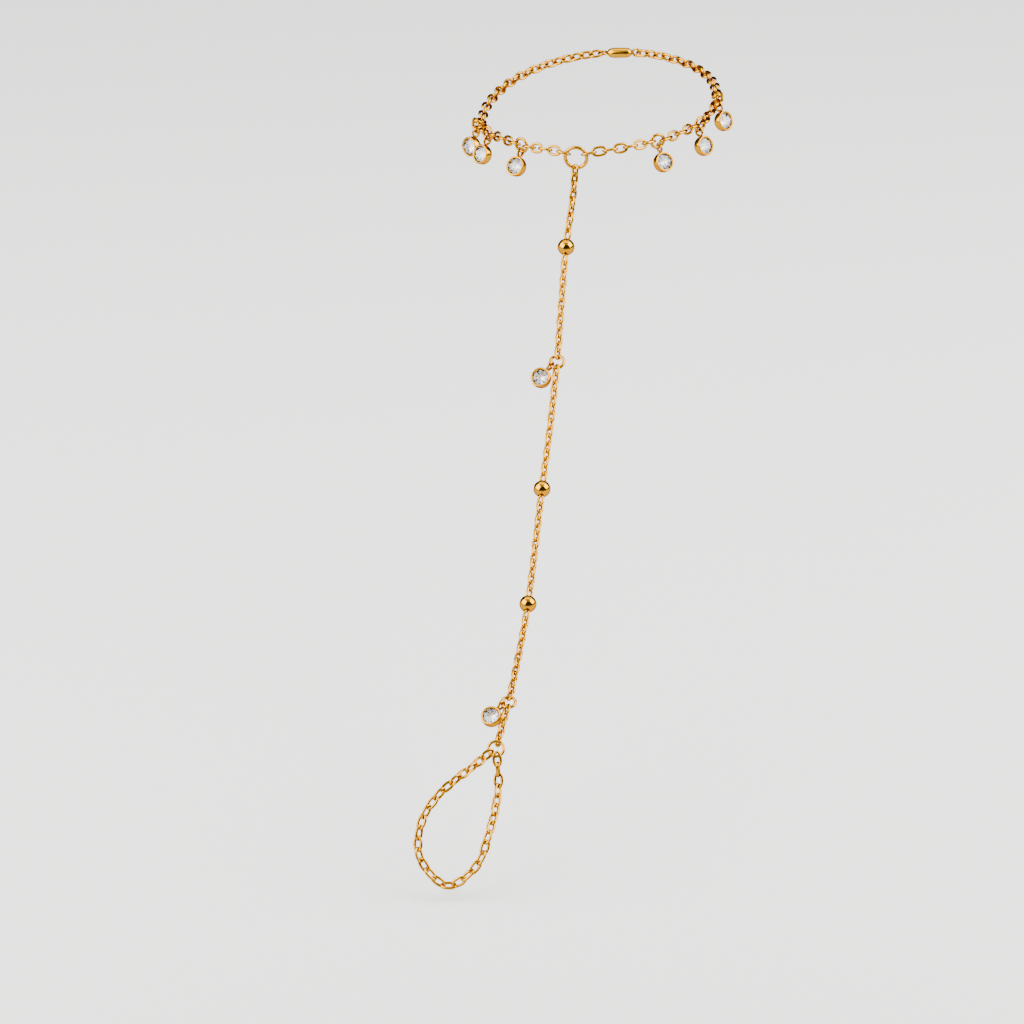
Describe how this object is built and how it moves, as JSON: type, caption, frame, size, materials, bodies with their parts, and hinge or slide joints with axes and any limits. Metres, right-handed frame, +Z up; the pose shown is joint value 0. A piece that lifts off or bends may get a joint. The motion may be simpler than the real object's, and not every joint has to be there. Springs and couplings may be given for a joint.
{
  "type": "charm anklet",
  "caption": "Gold barefoot charm anklet for a left foot: ankle chain with stone charms on jump rings, beaded instep chain and a toe loop, in its worn form",
  "frame": {"origin": "centre of the ankle loop, where it sits round the leg", "axes": "+Z up the leg, toes toward -Y, big toe side toward -X"},
  "size_m": [0.0667, 0.2257, 0.1324],
  "materials": {
    "gold": "polished gold plate",
    "stone": "clear, faceted"
  },
  "bodies": {
    "root": {"front_ring": "gold", "ankle_chain_3": "gold", "jump_ring_3": "gold", "charm_setting_3": "gold", "charm_stone_3": "stone", "ankle_chain_2": "gold", "jump_ring_2": "gold", "charm_setting_2": "gold", "charm_stone_2": "stone", "ankle_chain_1": "gold", "jump_ring_1": "gold", "charm_setting_1": "gold", "charm_stone_1": "stone", "ankle_chain_back_left": "gold", "ankle_chain_4": "gold", "jump_ring_4": "gold", "charm_setting_4": "gold", "charm_stone_4": "stone", "ankle_chain_5": "gold", "jump_ring_5": "gold", "charm_setting_5": "gold", "charm_stone_5": "stone", "ankle_chain_6": "gold", "jump_ring_6": "gold", "charm_setting_6": "gold", "charm_stone_6": "stone", "ankle_chain_back_right": "gold", "clasp": "gold", "foot_chain_1": "gold", "bead_1": "gold", "foot_chain_2": "gold", "jump_ring_7": "gold", "charm_setting_7": "gold", "charm_stone_7": "stone", "foot_chain_3": "gold", "bead_2": "gold", "foot_chain_4": "gold", "bead_3": "gold", "foot_chain_5": "gold", "jump_ring_8": "gold", "charm_setting_8": "gold", "charm_stone_8": "stone", "toe_ring": "gold", "foot_chain_6": "gold", "toe_chain": "gold"}
  },
  "joints": []
}
